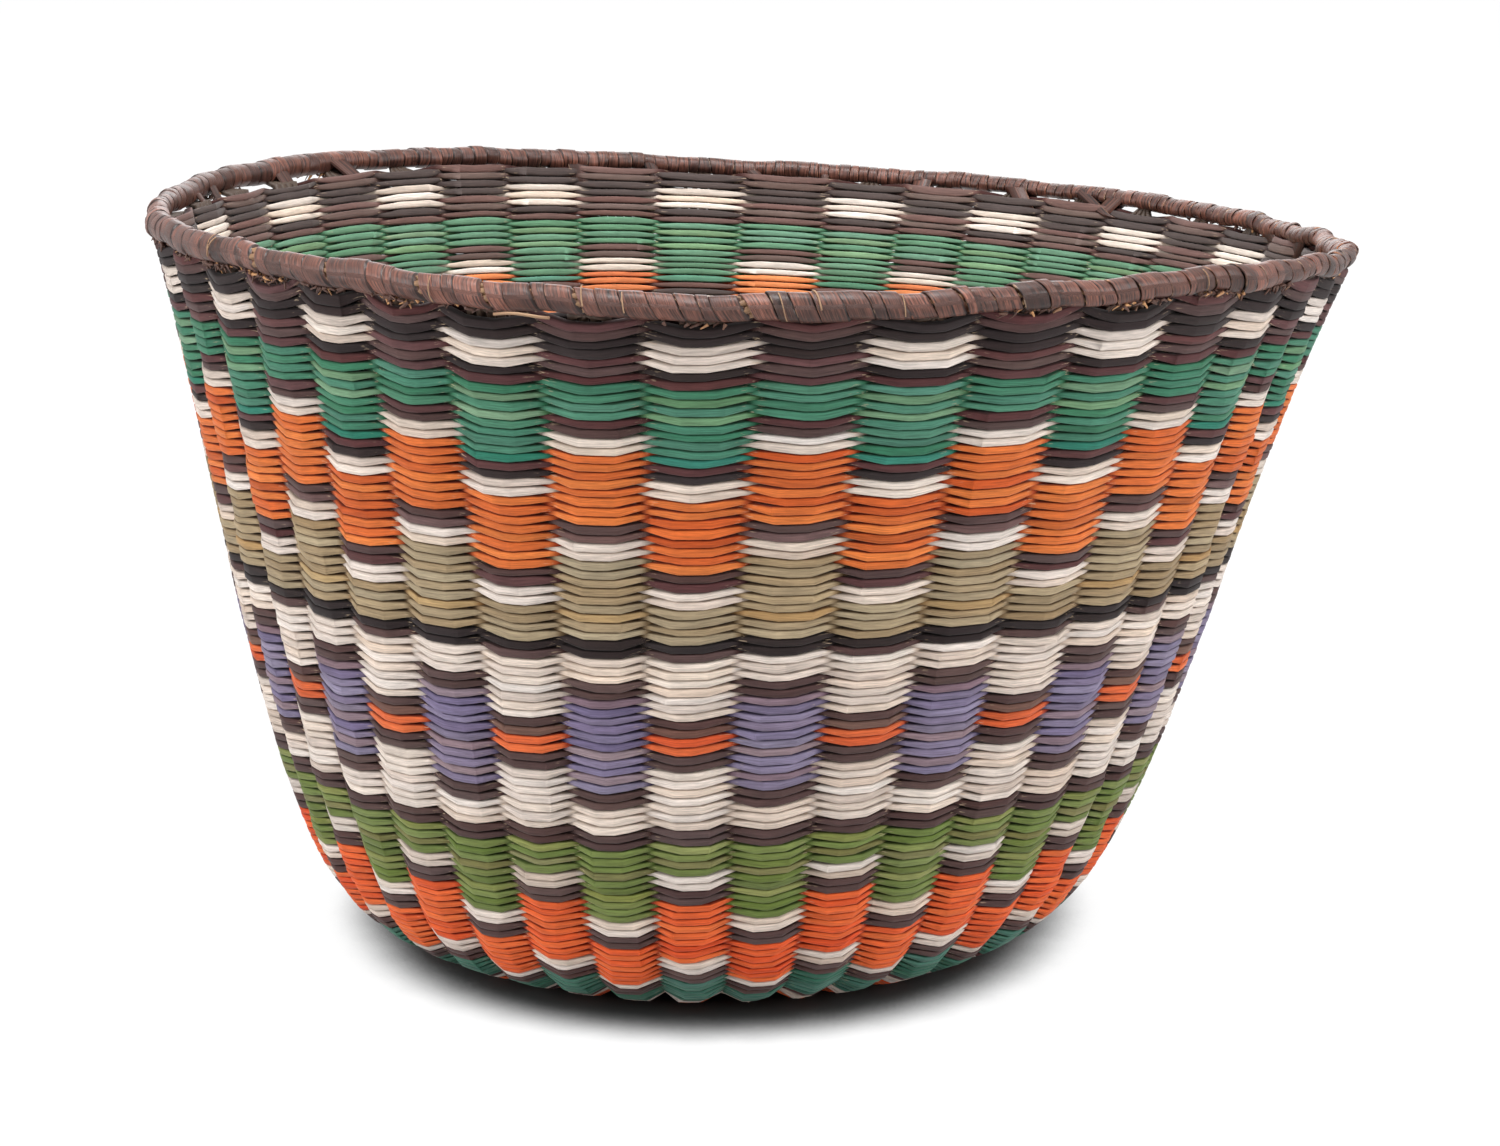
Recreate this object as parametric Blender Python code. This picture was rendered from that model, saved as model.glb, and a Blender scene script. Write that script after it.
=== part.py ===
"""Wicker peach basket: stakes, woven zones, base and bound rim.

Every piece is laid out on an upright, round basket and then moved to where hand work left it: the base
leans to one side of the mouth, and the rim rises at the front and one side. All lengths are in metres, with
+Z up and the basket's front towards -Y. The origin is on the floor under the middle of the mouth.
"""

import math
from collections import namedtuple

import bmesh
import bpy
from mathutils import Vector

# Clearance between pieces that touch
CLEARANCE = 0.0003

# Wall and base
WALL_HEIGHT = 0.2625
TOP_RADIUS = 0.2240
BASE_RADIUS = 0.1085
START_RADIUS = 0.0360
START_INSET = 0.0004
COLUMNS = 40

# The weft's cover outside and inside the stakes, and how deep the grooves between the ribs are
OUTER_WEFT = 0.0032
INNER_WEFT = 0.0026
RIB_DEPTH = 0.0042

# Angle of the column nearest the front, as a share of the angle between columns
FRONT_COLUMN_SHARE = -0.39

# Bends of the wall's outer line, as shares of its height and of the step from the base's radius to the top's
WALL_BEND_SHARES = (
    (1.0, 1.0),
    (0.924, 0.944),
    (0.640, 0.767),
    (0.474, 0.673),
    (0.208, 0.487),
    (0.090, 0.359),
    (0.033, 0.229),
    (0.0, 0.0),
)

# Heights where one colour zone ends and the next begins, besides the bends
ZONE_CUT_SHARES = (0.805, 0.300)

# How far the grooves between the ribs go in: full on the wall, less where it turns under, none on the base
FOOT_RIB_SHARE = 0.75

# Stakes
STAKE_WIDTH_SHARE = 0.42
STAKE_THICKNESS = 0.0038
STAKE_TIP_WIDTH = 0.0100
STAKE_TIP_THICKNESS = 0.0024

# Rim
RIM_GAP = 0.0030
CORE_RADIUS = 0.0034
BINDING_PLAY = 0.0004
LEAF_THICKNESS = 0.0009
RIM_SIDES = 6

# Where hand work left it
LEAN = 0.0172
LEAN_STRAIGHT_SHARE = 0.79
FRONT_RISE = 0.0126
SIDE_RISE = -0.0087
TWIST_RISE = 0.0033
BELLY_RISE = 0.0015

# Base colours (linear) of the zones, from the wall's top edge down and in under the base
ZONES = (
    ("weft_border", (0.052, 0.036, 0.040)),
    ("weft_green", (0.052, 0.262, 0.165)),
    ("weft_orange", (0.752, 0.156, 0.040)),
    ("weft_khaki", (0.376, 0.328, 0.168)),
    ("weft_violet", (0.156, 0.127, 0.242)),
    ("weft_lower_green", (0.102, 0.205, 0.048)),
    ("weft_red", (0.604, 0.093, 0.024)),
    ("weft_foot", (0.061, 0.205, 0.156)),
    ("base_weft", (0.262, 0.178, 0.091)),
)
STAKE_COLOUR = (0.376, 0.242, 0.112)
START_COLOUR = (0.328, 0.205, 0.102)
CORE_COLOUR = (0.242, 0.141, 0.072)
BINDING_COLOUR = (0.127, 0.061, 0.052)
STEM_ROUGHNESS = 0.62
LEAF_ROUGHNESS = 0.55

STAKE_DEPTH = OUTER_WEFT + CLEARANCE + STAKE_THICKNESS / 2
WALL_THICKNESS = STAKE_DEPTH + STAKE_THICKNESS / 2 + CLEARANCE + INNER_WEFT
BINDING_INNER_RADIUS = CORE_RADIUS + BINDING_PLAY
BINDING_RADIUS = BINDING_INNER_RADIUS + LEAF_THICKNESS

Station = namedtuple("Station", "point inward groove")


def flat(radius):
    """How far a flat side of one of the rim's layers lies from the middle of the rim."""
    return radius * math.cos(math.pi / RIM_SIDES)


def rim_height():
    return WALL_HEIGHT + RIM_GAP + flat(BINDING_RADIUS)


def place(angle, radius, height):
    """A point of the upright round basket, moved to where hand work left it."""
    share = height / rim_height()
    high = share**3
    tilt = FRONT_RISE * math.cos(angle) + SIDE_RISE * math.sin(angle) + TWIST_RISE * math.sin(2 * angle)
    belly = BELLY_RISE * 4 * share * (1 - share) * math.cos(2 * angle)
    lean = LEAN * (LEAN_STRAIGHT_SHARE * share + (1 - LEAN_STRAIGHT_SHARE) * high - 1)
    x = radius * math.sin(angle) + lean
    y = -radius * math.cos(angle)
    return Vector((x, y, height + high * tilt + belly))


def column_angle(column):
    return (column + FRONT_COLUMN_SHARE) * math.tau / COLUMNS


def wall_line():
    """The wall's outer line, top edge to base start, as points (radius, height) with their levels."""
    flare = TOP_RADIUS - BASE_RADIUS
    bends = []
    for level, share in WALL_BEND_SHARES:
        bends.append((Vector((BASE_RADIUS + share * flare, level * WALL_HEIGHT)), level))
    line = []
    for (point, level), (after, level_after) in zip(bends, bends[1:]):
        line.append((point, level))
        for cut in ZONE_CUT_SHARES:
            if level_after < cut < level:
                line.append((point.lerp(after, (level - cut) / (level - level_after)), cut))
    line.append(bends[-1])
    line.append((Vector((START_RADIUS + CLEARANCE, 0.0)), 0.0))
    return line


def groove_share(level):
    """1 on the wall, less at the last bend above the floor, and 0 on the floor."""
    last_bend = WALL_BEND_SHARES[-2][0]
    if level > last_bend:
        return 1.0
    return FOOT_RIB_SHARE if level > 0 else 0.0


def inward(before, after):
    """The unit normal of a stretch of the wall's line, towards the inside."""
    along = (after - before).normalized()
    return Vector((along.y, -along.x))


def wall_stations():
    """The line's points, each with the direction in which depth is measured there, mitred at the bends."""
    line = wall_line()
    stations = []
    for index, (point, level) in enumerate(line):
        first = max(index - 1, 0)
        last = min(index + 1, len(line) - 1)
        one = inward(line[first][0], line[first + 1][0])
        two = inward(line[last - 1][0], line[last][0])
        middle = (one + two).normalized()
        stations.append(Station(point, middle / middle.dot(one), groove_share(level)))
    return stations


def at_depth(station, depth):
    return station.point + station.inward * depth


def stake_half_angle():
    return STAKE_WIDTH_SHARE * math.pi / COLUMNS


def stake_section(station, column, clearance):
    """The four corners of a stake or its tunnel: outer left, outer right, inner right, inner left."""
    middle = column_angle(column)
    half = STAKE_THICKNESS / 2 + clearance
    outer = at_depth(station, STAKE_DEPTH - half)
    inner = at_depth(station, STAKE_DEPTH + half)
    corners = []
    for point, side in ((outer, -1), (outer, 1), (inner, 1), (inner, -1)):
        turn = side * (stake_half_angle() + clearance / point.x)
        corners.append((middle + turn, point.x, point.y))
    return corners


def tip_section(column, height, clearance):
    """The four corners of a stake's tip where it stands in the rim, in the same order."""
    middle = column_angle(column)
    radius = TOP_RADIUS * math.cos(math.pi / COLUMNS)
    half = STAKE_TIP_THICKNESS / 2 + clearance
    turn = (STAKE_TIP_WIDTH / 2 + clearance) / radius
    return [
        (middle - turn, radius + half, height),
        (middle + turn, radius + half, height),
        (middle + turn, radius - half, height),
        (middle - turn, radius - half, height),
    ]


def material(name, colour, roughness):
    made = bpy.data.materials.new(name)
    made.use_nodes = True
    shader = made.node_tree.nodes["Principled BSDF"]
    shader.inputs["Base Color"].default_value = (*colour, 1.0)
    shader.inputs["Roughness"].default_value = roughness
    shader.inputs["Metallic"].default_value = 0.0
    return made


def add_object(name, shape, colour, roughness):
    """Makes a smooth-shaded object of a bmesh whose faces all point out."""
    bmesh.ops.recalc_face_normals(shape, faces=shape.faces)
    mesh = bpy.data.meshes.new(name)
    shape.to_mesh(mesh)
    shape.free()
    mesh.shade_smooth()
    mesh.set_sharp_from_angle(angle=math.radians(35))
    mesh.materials.append(material(name, colour, roughness))
    made = bpy.data.objects.new(name, mesh)
    bpy.context.scene.collection.objects.link(made)
    return made


def add_vert(shape, corner):
    return shape.verts.new(place(*corner))


def bridge(shape, one, two):
    """Quads between two closed loops of as many points."""
    count = len(one)
    for index in range(count):
        after = (index + 1) % count
        shape.faces.new((one[index], one[after], two[after], two[index]))


def zone_levels(stations):
    """The zone's stations, drawn in at both ends by half the clearance to the next zone."""
    levels = list(stations)
    for end, beside in ((0, 1), (-1, -2)):
        here = levels[end]
        there = levels[beside]
        share = CLEARANCE / 2 / (there.point - here.point).length
        levels[end] = Station(
            here.point.lerp(there.point, share), here.inward.lerp(there.inward, share), here.groove
        )
    return levels


def level_loops(shape, station):
    """One level of a woven zone: its outer loop, its inner loop, and the loop of each stake's tunnel."""
    outer, inner, tunnels = [], [], []
    for column in range(COLUMNS):
        middle = column_angle(column)
        groove = middle - math.pi / COLUMNS
        valley = at_depth(station, RIB_DEPTH * station.groove)
        back = at_depth(station, WALL_THICKNESS)
        outer.append(add_vert(shape, (groove, valley.x, valley.y)))
        outer.append(add_vert(shape, (middle, station.point.x, station.point.y)))
        inner.append(add_vert(shape, (groove, back.x, back.y)))
        tunnels.append([add_vert(shape, corner) for corner in stake_section(station, column, CLEARANCE)])
    return outer, inner, tunnels


def close_level(shape, loops):
    """The woven edge at one end of a zone, left open at each tunnel."""
    outer, inner, tunnels = loops
    for column, tunnel in enumerate(tunnels):
        after = (column + 1) % COLUMNS
        left, rib, right = outer[2 * column], outer[2 * column + 1], outer[2 * after]
        back_left, back_right = inner[column], inner[after]
        outer_left, outer_right, inner_right, inner_left = tunnel
        for face in (
            (left, rib, outer_left),
            (rib, outer_right, outer_left),
            (rib, right, outer_right),
            (right, back_right, inner_right, outer_right),
            (back_right, back_left, inner_left, inner_right),
            (back_left, left, outer_left, inner_left),
        ):
            shape.faces.new(face)


def add_zone(name, stations, colour):
    """A woven zone: a closed ring with a rib on each column and a tunnel for each stake."""
    shape = bmesh.new()
    levels = [level_loops(shape, station) for station in zone_levels(stations)]
    for upper, lower in zip(levels, levels[1:]):
        bridge(shape, upper[0], lower[0])
        bridge(shape, upper[1], lower[1])
        for one, two in zip(upper[2], lower[2]):
            bridge(shape, one, two)
    close_level(shape, levels[0])
    close_level(shape, levels[-1])
    return add_object(name, shape, colour, STEM_ROUGHNESS)


def add_zones(stations):
    """All the zones: each runs from one of its edges on the line to the next."""
    foot = len(stations) - 2
    edges = [*range(foot - 1), foot, foot + 1]
    for (name, colour), first, last in zip(ZONES, edges, edges[1:]):
        add_zone(name, stations[first : last + 1], colour)


def add_stake(column, stations):
    """One bundle of stems, from the start of the base out, round the foot and up into the rim."""
    neck = rim_height() - flat(BINDING_RADIUS) - CLEARANCE
    tip = rim_height() - flat(CORE_RADIUS) - CLEARANCE
    sections = [tip_section(column, tip, 0), tip_section(column, neck, 0)]
    sections += [stake_section(station, column, 0) for station in stations]
    shape = bmesh.new()
    loops = [[add_vert(shape, corner) for corner in section] for section in sections]
    for upper, lower in zip(loops, loops[1:]):
        bridge(shape, upper, lower)
    shape.faces.new(loops[0])
    shape.faces.new(loops[-1])
    return add_object(f"stake_{column + 1:02d}", shape, STAKE_COLOUR, STEM_ROUGHNESS)


def rim_section(angle, radius):
    """The corners of the rim's section, with a flat side down, from the outermost one round over the top."""
    corners = []
    for side in range(RIM_SIDES):
        turn = side * math.tau / RIM_SIDES
        corners.append((angle, TOP_RADIUS + radius * math.cos(turn), rim_height() + radius * math.sin(turn)))
    return corners


def rim_loops(shape, radius):
    """The sections of a ring in the rim, one at each groove between two columns."""
    half = math.pi / COLUMNS
    return [
        [add_vert(shape, corner) for corner in rim_section(column_angle(column) - half, radius)]
        for column in range(COLUMNS)
    ]


def add_core():
    """The hoop of bent-over stake ends."""
    shape = bmesh.new()
    loops = rim_loops(shape, CORE_RADIUS)
    for column in range(COLUMNS):
        bridge(shape, loops[column], loops[(column + 1) % COLUMNS])
    return add_object("rim_core", shape, CORE_COLOUR, STEM_ROUGHNESS)


def skin(shape, radius):
    """One surface of the binding, with a hole in its underside for each stake. Gives the holes' loops."""
    loops = rim_loops(shape, radius)
    under = 2 * RIM_SIDES // 3
    height = rim_height() - flat(radius)
    holes = []
    for column in range(COLUMNS):
        one = loops[column]
        two = loops[(column + 1) % COLUMNS]
        hole = [add_vert(shape, corner) for corner in tip_section(column, height, CLEARANCE)]
        holes.append(hole)
        for side in range(RIM_SIDES):
            after = (side + 1) % RIM_SIDES
            if side != under:
                shape.faces.new((one[side], one[after], two[after], two[side]))
        frame = (one[under + 1], two[under + 1], two[under], one[under])
        bridge(shape, frame, hole)
    return holes


def add_binding():
    """The wound strip round the core, as one closed sleeve that the stakes' tips come into from below."""
    shape = bmesh.new()
    outer = skin(shape, BINDING_RADIUS)
    inner = skin(shape, BINDING_INNER_RADIUS)
    for one, two in zip(outer, inner):
        bridge(shape, one, two)
    return add_object("rim_binding", shape, BINDING_COLOUR, LEAF_ROUGHNESS)


def add_start():
    """The plaited middle of the base, as one thick disc."""
    shape = bmesh.new()
    half = math.pi / COLUMNS
    loops = []
    for height in (START_INSET, WALL_THICKNESS - START_INSET):
        corners = [(column_angle(column) - half, START_RADIUS, height) for column in range(COLUMNS)]
        loops.append([add_vert(shape, corner) for corner in corners])
    bridge(shape, loops[0], loops[1])
    shape.faces.new(loops[0])
    shape.faces.new(loops[1])
    return add_object("base_start", shape, START_COLOUR, STEM_ROUGHNESS)


def clear_scene():
    for old in list(bpy.data.objects):
        bpy.data.objects.remove(old)


def main():
    clear_scene()
    stations = wall_stations()
    add_zones(stations)
    for column in range(COLUMNS):
        add_stake(column, stations)
    add_start()
    add_core()
    add_binding()


main()
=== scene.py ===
"""Looks of a wicker peach basket: dyed courses woven over bundles of stems, under a leaf-bound rim.

A course is one stem woven right round the basket. An even course passes outside the even columns and
inside the odd ones, and an odd course the other way about. All lengths are in metres, in the frame of
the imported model, and angles are in radians from the front, growing to the right.
"""

import math

import bpy
import numpy as np
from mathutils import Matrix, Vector


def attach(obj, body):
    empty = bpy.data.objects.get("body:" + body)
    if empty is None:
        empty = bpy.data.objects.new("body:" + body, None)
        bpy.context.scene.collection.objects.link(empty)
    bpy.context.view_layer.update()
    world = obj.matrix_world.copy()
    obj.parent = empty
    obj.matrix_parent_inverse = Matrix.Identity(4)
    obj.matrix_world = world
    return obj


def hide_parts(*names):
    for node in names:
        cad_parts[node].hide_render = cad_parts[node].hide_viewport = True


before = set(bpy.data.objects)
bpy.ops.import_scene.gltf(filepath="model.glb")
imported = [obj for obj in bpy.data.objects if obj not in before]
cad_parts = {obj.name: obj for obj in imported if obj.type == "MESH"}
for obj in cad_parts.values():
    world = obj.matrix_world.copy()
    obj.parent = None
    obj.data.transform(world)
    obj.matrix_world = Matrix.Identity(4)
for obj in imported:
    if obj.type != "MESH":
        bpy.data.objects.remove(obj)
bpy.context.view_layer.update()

# The basket's layout, as its solids have it
WALL_HEIGHT = 0.2625
TOP_RADIUS = 0.224
BASE_RADIUS = 0.1085
START_RADIUS = 0.0363
WALL_THICKNESS = 0.0102
RIM_HEIGHT = 0.26957
COLUMNS = 40
FRONT_COLUMN_SHARE = -0.39
WALL_BEND_SHARES = (
    (1.0, 1.0), (0.924, 0.944), (0.64, 0.767), (0.474, 0.673), (0.208, 0.487), (0.09, 0.359),
    (0.033, 0.229), (0.0, 0.0),
)
LEAN = 0.0172
LEAN_STRAIGHT_SHARE = 0.79
FRONT_RISE = 0.0126
SIDE_RISE = -0.0087
TWIST_RISE = 0.0033
BELLY_RISE = 0.0015

# Stems of the weft
STEM_HALF_DEPTH = 0.0015
STEM_FILL = 0.88
# One rounded corner of a stem's section, as shares of its half height and half depth
STEM_CORNER = ((0.62, 1.0), (0.91, 0.83), (1.0, 0.42))
STEM_POINTS = 4 * len(STEM_CORNER)
# How much lower the middle of an outside pass lies than its ends, and how far it may stand proud
SAG = 0.00042
CROWN = 0.00025
# Unevenness, as shares of the courses' spacing: of the lines between them, of the crossings and of the
# tips, and how far the first odd course lies below its even place
EDGE_CHANGE = 0.06
CROSSING_CHANGE = 0.026
TIP_CHANGE = 0.012
FIRST_ODD_DROP = 0.12

# A pass narrows from this far off the column's middle, in columns. At its crossings, its half height is
# a share of the courses' spacing.
NARROW_START = 0.24
NARROW_POWER = 0.9
TIP_SHARE = 0.262

# Places along a pass besides its middle and its bends, in columns, and how sharp the bends are
NARROW_PLACES = (0.26, 0.35, 0.44)
KINK_BEVEL = 0.01
MIDDLE_PLACE = len(NARROW_PLACES) + 3
# Half the width of a pass's flat part, in columns. The share of it that is usual changes slowly down a
# column, quickly from course to course, and grows towards the foot.
FLAT_HALF = 0.22
FLAT_SHARE = 0.66
FLAT_SLOW = 0.32
FLAT_QUICK = 0.1
FLAT_BELOW = 0.25
# How far the flat part lies off the column's middle, in columns, slowly and quickly changing
OFF_SLOW = 0.04
OFF_QUICK = 0.02

# Hand work. A bump round the basket has a size, the angle of its middle and its reach.
# Moves of the columns sideways, in columns
SPREAD = ((0.08, 0.15, 0.25), (0.16, 0.85, 0.35), (-0.09, -0.65, 0.5))
LOW_SPREAD = (0.14, -0.1, 0.42)
TOP_SPREAD = (-0.12, -0.38, 0.22)
BACK_SPREAD = ((0.09, 3.54, 0.3), (-0.1, 3.0, 0.22), (0.1, 2.15, 0.25))
# Moves of the courses along the wall: a drop is down, and a lift is up
LEFT_DROP = (0.0038, -0.55, 0.52)
LEFT_TOP_DROP = (0.0018, -0.3, 0.25)
RIGHT_LIFT = (0.0033, 0.38, 0.36)
RIGHT_LOW_LIFT = (0.0012, 0.35, 0.45)
BACK_DROP = (0.0047, math.pi, 0.95)
FOOT_DROP = 0.0017
RIGHT_FOOT_DROP = (0.0016, 0.62, 0.3)
# Near the wall's edges these moves fade away, over a shorter length for those of the foot
WALL_FADE = 0.03
FOOT_FADE = 0.012

# How far the top courses rise into the gap under the rim, over what depth this dies away, and how much
# lower they lie in the middle of each column
TOP_RISE = 0.0024
TOP_RISE_REACH = 0.007
TOP_SAG = 0.0014
# Two stretches of the back, as bumps, where they hardly rise
TOP_GAPS = ((1.0, 4.2, 0.34), (1.0, 2.2, 0.4))
# How far down the wall the hang of the top course reaches, and the columns that hang: column, and how far
HANG_REACH = 0.0035
HANGING = ((-6, 0.0024), (-5, 0.0028), (-3, 0.0026), (3, 0.001), (4, 0.0022), (8, 0.0014))

# How much a dye changes from course to course, from pass to pass (all dyes, and more for strong ones)
# and along a pass, and the most that a channel reaches
ROW_CHANGE = 0.06
PASS_CHANGE = 0.07
STRONG_PASS_CHANGE = 0.17
ALONG_CHANGE = 0.03
DYE_CAP = 0.73
# Painted light inside the basket, added to the dyes: for a strong, a dark and any dye, how much
INSIDE_LIGHT_STRONG = 0.08
INSIDE_LIGHT_DARK = 0.04
INSIDE_LIGHT_ALL = 0.012
# Painted shade in the grooves between the courses: the share of a dye's brightness kept there, for pale and
# for other dyes
PAINTED_GROOVE_PALE = 0.6
PAINTED_GROOVE_OTHER = 0.22

# Dyes, as display colours out of 255
DYES = {
    "black": (44, 35, 35), "dark": (79, 59, 57), "maroon": (85, 53, 53),
    "mauve": (102, 75, 73), "cream": (214, 200, 189), "green": (66, 118, 95),
    "sage": (102, 138, 105), "teal": (44, 115, 96), "orange": (200, 102, 49),
    "khaki": (155, 136, 107), "tan": (180, 150, 106), "brown": (112, 82, 72),
    "violet": (122, 112, 137), "grey_violet": (130, 110, 119), "red": (220, 96, 48),
    "rust": (196, 88, 48), "leaf": (104, 118, 63), "lime": (126, 132, 75),
    "olive": (116, 114, 72), "deep_teal": (66, 110, 94), "straw": (176, 150, 108),
}

# Zones from the top edge down: node, top edge as a share of the wall's height, even courses, odd courses
ZONES = (
    ("weft_border", 1.0, "2 black, 3 cream, black, maroon",
     "maroon, dark, 2 black, maroon, dark, maroon"),
    ("weft_green", 0.924, "green, sage, green, sage, 4 green, teal, maroon, black",
     "4 green, maroon, dark, 2 cream, 3 orange"),
    ("weft_orange", 0.805, "2 cream, 8 orange, dark, maroon, 2 cream",
     "5 orange, dark, mauve, 2 cream, 5 khaki"),
    ("weft_khaki", 0.64, "4 khaki, black, dark, 7 cream, dark",
     "khaki, tan, 2 khaki, 2 black, 3 cream, 2 dark, grey_violet, 2 violet"),
    ("weft_violet", 0.474, "brown, 2 rust, 2 dark, 7 cream, 2 dark",
     "3 violet, grey_violet, 2 violet, grey_violet, violet, 2 dark, 3 cream, dark"),
    ("weft_lower_green", 0.3, "lime, leaf, olive, leaf, 2 cream, 2 dark",
     "dark, 3 leaf, olive, 2 leaf, lime"),
    ("weft_red", 0.208, "9 red, 2 cream",
     "3 leaf, 2 cream, 2 dark, 4 red"),
    ("weft_foot", 0.09, "2 dark, 6 deep_teal, maroon, 2 cream, 4 red, 2 dark",
     "3 red, cream, 2 dark, 5 deep_teal, 2 cream, dark, 3 red"),
    ("base_weft", 0.0, "2 cream, 15 straw",
     "2 straw, 2 dark, 13 straw"),
)

rng = np.random.default_rng(17)


def linear(colour):
    """A display colour out of 255 as a linear one."""
    part = np.array(colour) / 255
    return np.where(part <= 0.04045, part / 12.92, ((part + 0.055) / 1.055) ** 2.4)


def place(angle, radius, height):
    """Points of the upright round basket, moved to where hand work left them."""
    share = height / RIM_HEIGHT
    high = share**3
    tilt = FRONT_RISE * np.cos(angle) + SIDE_RISE * np.sin(angle) + TWIST_RISE * np.sin(2 * angle)
    belly = BELLY_RISE * 4 * share * (1 - share) * np.cos(2 * angle)
    lean = LEAN * (LEAN_STRAIGHT_SHARE * share + (1 - LEAN_STRAIGHT_SHARE) * high - 1)
    x = radius * np.sin(angle) + lean
    y = -radius * np.cos(angle)
    return np.stack([x, y, height + high * tilt + belly], -1)


def smooth_values(knots, values, at):
    """A smooth curve through the values that rises and falls only where they do."""
    step = np.diff(knots)
    slope = np.diff(values) / step
    inner = np.zeros(len(slope) - 1)
    same = slope[1:] * slope[:-1] > 0
    one = 2 * step[1:] + step[:-1]
    two = step[1:] + 2 * step[:-1]
    inner[same] = (one + two)[same] / (one[same] / slope[:-1][same] + two[same] / slope[1:][same])
    tangent = np.concatenate([slope[:1], inner, slope[-1:]])
    index = np.clip(np.searchsorted(knots, at, side="right") - 1, 0, len(step) - 1)
    width = step[index]
    t = (at - knots[index]) / width
    start = values[index] * (1 + 2 * t) * (1 - t) ** 2 + tangent[index] * width * t * (1 - t) ** 2
    end = values[index + 1] * t**2 * (3 - 2 * t) - tangent[index + 1] * width * t**2 * (1 - t)
    return start + end


class Wall:
    """The wall's outer line, from its top edge down and in under the base, by length along it."""

    def __init__(self, steps=1600):
        flare = TOP_RADIUS - BASE_RADIUS
        bends = [(BASE_RADIUS + share * flare, level * WALL_HEIGHT) for level, share in WALL_BEND_SHARES]
        bends = np.array([*bends, (START_RADIUS, 0.0)])
        knots = np.concatenate([[0], np.cumsum(np.linalg.norm(np.diff(bends, axis=0), axis=1))])
        fine = np.linspace(0, knots[-1], steps)
        self.line = np.stack([smooth_values(knots, bends[:, i], fine) for i in (0, 1)], -1)
        run = np.linalg.norm(np.diff(self.line, axis=0), axis=1)
        self.length = np.concatenate([[0], np.cumsum(run)])
        self.along = np.gradient(self.line, self.length, axis=0)
        self.along /= np.linalg.norm(self.along, axis=1)[:, None]

    def arc(self, level):
        """How far down the line a share of the wall's height lies."""
        return float(np.interp(-level * WALL_HEIGHT, -self.line[:, 1], self.length))

    def base_edge(self):
        """How far down the line the flat base begins."""
        return float(np.interp(-BASE_RADIUS, -self.line[:, 0], self.length))

    def point(self, arc, depth):
        """Radius and height of the point so far down the line and so deep behind it."""
        found = [np.interp(arc, self.length, values) for values in (*self.line.T, *self.along.T)]
        radius, height, along_radius, along_height = found
        below = np.minimum(arc, 0)
        return (
            radius + along_radius * below + along_height * depth,
            np.maximum(height + along_height * below - along_radius * depth, 0.0),
        )


wall = Wall()


def courses(runs):
    """The dye of each course that a zone's runs name."""
    found = []
    for run in runs.split(", "):
        count, _, name = run.rpartition(" ")
        found += [name] * int(count or 1)
    return found


def bump(angle, middle, reach):
    """1 at one angle, falling to 0 away from it on both sides."""
    away = (angle - middle + math.pi) % math.tau - math.pi
    return np.exp(-((away / reach) ** 2))


def bumps(angle, *specs):
    """The sum of some bumps, each given by its size, middle and reach."""
    total = 0.0
    for size, middle, reach in specs:
        total = total + size * bump(angle, middle, reach)
    return total


def band(level, middle, reach):
    """1 at one level of the wall, falling to 0 above and below it."""
    return np.exp(-(((level - middle) / reach) ** 2))


def level_of(arc):
    """How high on the wall a place is, from 0 at its foot to 1 at its top edge."""
    return 1 - np.clip(arc / wall.arc(0.0), 0, 1)


def drift(angle, arc):
    """How far hand work has moved the columns sideways, in columns: most at the top of the front."""
    level = level_of(arc)
    front = (1 + np.cos(angle)) / 2
    sway = 0.08 - (0.02 + 0.15 * level**2) * np.cos(3 * angle + 0.5)
    spread = bumps(angle, *SPREAD)
    spread += bumps(angle, LOW_SPREAD) * band(level, 0.32, 0.16) + bumps(angle, TOP_SPREAD) * level**6
    spread += bumps(angle, *BACK_SPREAD)
    return front * sway + spread + 0.03 * np.sin(7 * angle - 3 * level)


def row_drift(angle, arc):
    """How far hand work has moved the courses down the wall."""
    level = level_of(arc)
    below_top = np.clip((0.8 - level) / 0.2, 0, 1)
    left = bumps(angle, LEFT_DROP) * below_top + bumps(angle, LEFT_TOP_DROP) * (1 - below_top)
    right = bumps(angle, RIGHT_LIFT) * band(level, 0.45, 0.2)
    right += bumps(angle, RIGHT_LOW_LIFT) * band(level, 0.22, 0.12)
    back = bumps(angle, BACK_DROP) * (1 - np.exp(-np.maximum(arc, 0) / WALL_FADE))
    foot = FOOT_DROP * band(level, 0.04, 0.09)
    foot += bumps(angle, RIGHT_FOOT_DROP) * band(level, 0.12, 0.1)
    left_over = np.maximum(wall.base_edge() - arc, 0)
    foot_share = np.minimum(left_over / FOOT_FADE, 1)
    return (left - right + back) * np.minimum(left_over / WALL_FADE, 1) + foot * foot_share


def rim_rise(angle):
    """How far the rim lies above its even line."""
    slow = 0.0014 * np.sin(angle) - 0.0005 * np.sin(2 * angle) - 0.0004 * np.cos(3 * angle)
    return 0.0006 + slow - 0.0013 * np.cos(4 * angle)


def rim_out(angle):
    """How far the rim lies outside its even line."""
    slow = -0.0008 * np.sin(angle) + 0.0014 * np.sin(2 * angle + 0.8) + 0.0009 * np.sin(3 * angle + 0.4)
    return slow - 0.0009 * np.cos(4 * angle) - 0.0016 * np.sin(4 * angle)


def top_rise(angle, place_across, arc):
    """How far the top courses rise to the rim. They lie lower in the middle of a column, and hang at some."""
    gaps = bumps(angle, *TOP_GAPS)
    hang = np.zeros(COLUMNS)
    for column, fall in HANGING:
        hang[column] = fall
    sag = TOP_SAG * np.cos(math.pi * place_across)
    even = rim_rise(angle) + TOP_RISE * (1 - 0.9 * gaps) - sag
    lens = hang[None, :, None] * (1 - (2 * place_across) ** 4)
    down = np.maximum(arc, 0)
    return even * np.exp(-down / TOP_RISE_REACH) - lens * np.exp(-down / HANG_REACH)


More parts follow.
